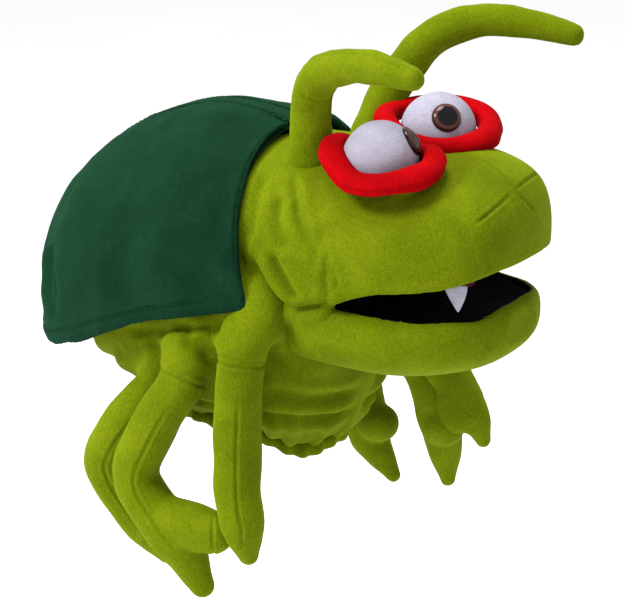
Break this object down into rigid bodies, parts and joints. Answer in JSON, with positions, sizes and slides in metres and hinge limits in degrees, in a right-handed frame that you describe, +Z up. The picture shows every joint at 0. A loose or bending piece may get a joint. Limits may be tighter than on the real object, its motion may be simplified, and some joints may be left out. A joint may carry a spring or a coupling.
{
  "type": "hand puppet",
  "caption": "Plush beetle hand puppet with a mouth that the hand opens, wing covers, feelers and hanging legs.",
  "frame": {"origin": "centre of the hand opening under the belly, at the lower edge of the gathered cuff", "axes": "-Y is where the puppet faces, +Z is up, +X is its left side"},
  "size_m": [0.2014, 0.2885, 0.2891],
  "materials": {
    "green_plush": "short pile plush",
    "dark_plush": "short pile plush",
    "black_cloth": "flat woven lining",
    "white_fleece": "fleece",
    "red_fleece": "fleece",
    "tongue_felt": "felt",
    "lining_cloth": "thin lining cloth",
    "stuffing": "polyester fibre filling",
    "board": "stiff flat board",
    "elastic": "woven elastic",
    "eye_plastic": "polished moulded plastic"
  },
  "bodies": {
    "body": {"body_skin": "green_plush", "body_stuffing": "stuffing", "cuff": "green_plush", "cuff_elastic": "elastic", "hand_lining": "lining_cloth", "wing_cover_left": "dark_plush", "wing_cover_right": "dark_plush", "wing_centre_strip": "dark_plush", "wing_lining": "dark_plush"},
    "head": {"head_skin": "green_plush", "head_stuffing": "stuffing", "finger_pocket": "lining_cloth", "palate_board": "board", "palate_lining": "black_cloth", "fang": "white_fleece", "eyeball_left": "white_fleece", "eyeball_right": "white_fleece", "safety_eye_left": "eye_plastic", "safety_eye_right": "eye_plastic", "eye_washer_left": "eye_plastic", "eye_washer_right": "eye_plastic", "eyelid_left": "red_fleece", "eyelid_right": "red_fleece"},
    "jaw": {"jaw_skin": "green_plush", "jaw_stuffing": "stuffing", "thumb_pocket": "lining_cloth", "jaw_board": "board", "jaw_lining": "black_cloth", "tongue": "tongue_felt"},
    "feeler_left": {"feeler_left": "green_plush"},
    "feeler_right": {"feeler_right": "green_plush"},
    "leg_front_left": {"leg_front_left": "green_plush"},
    "leg_front_right": {"leg_front_right": "green_plush"},
    "leg_middle_left": {"leg_middle_left": "green_plush"},
    "leg_middle_right": {"leg_middle_right": "green_plush"},
    "leg_rear_left": {"leg_rear_left": "green_plush"},
    "leg_rear_right": {"leg_rear_right": "green_plush"}
  },
  "joints": [
    {"name": "head_nod", "type": "hinge", "parent": "body", "child": "head", "pos_m": [0, -0.026, 0.108], "axis": [1, 0, 0], "range_deg": [-5, 8], "stiffness_Nm_per_rad": 1.2},
    {"name": "jaw_open", "type": "hinge", "parent": "head", "child": "jaw", "pos_m": [0, -0.072, 0.1], "axis": [1, 0, 0], "range_deg": [-8, 20], "stiffness_Nm_per_rad": 0.9},
    {"name": "feeler_left_bend", "type": "hinge", "parent": "head", "child": "feeler_left", "pos_m": [0.026, -0.0475, 0.183], "axis": [1, 0, 0], "range_deg": [-8, 15], "stiffness_Nm_per_rad": 0.6},
    {"name": "feeler_right_bend", "type": "hinge", "parent": "head", "child": "feeler_right", "pos_m": [-0.026, -0.0475, 0.183], "axis": [1, 0, 0], "range_deg": [-8, 15], "stiffness_Nm_per_rad": 0.6},
    {"name": "leg_front_left_swing", "type": "hinge", "parent": "body", "child": "leg_front_left", "pos_m": [0.072, -0.034, 0.064], "axis": [0, -1, 0], "range_deg": [-6, 50]},
    {"name": "leg_front_right_swing", "type": "hinge", "parent": "body", "child": "leg_front_right", "pos_m": [-0.072, -0.034, 0.064], "axis": [0, 1, 0], "range_deg": [-6, 50]},
    {"name": "leg_middle_left_swing", "type": "hinge", "parent": "body", "child": "leg_middle_left", "pos_m": [0.0845, -0.005, 0.056], "axis": [0, -1, 0], "range_deg": [-6, 50]},
    {"name": "leg_middle_right_swing", "type": "hinge", "parent": "body", "child": "leg_middle_right", "pos_m": [-0.0845, -0.005, 0.056], "axis": [0, 1, 0], "range_deg": [-6, 50]},
    {"name": "leg_rear_left_swing", "type": "hinge", "parent": "body", "child": "leg_rear_left", "pos_m": [0.083, 0.028, 0.047], "axis": [0, -1, 0], "range_deg": [-6, 50]},
    {"name": "leg_rear_right_swing", "type": "hinge", "parent": "body", "child": "leg_rear_right", "pos_m": [-0.083, 0.028, 0.047], "axis": [0, 1, 0], "range_deg": [-6, 50]}
  ]
}
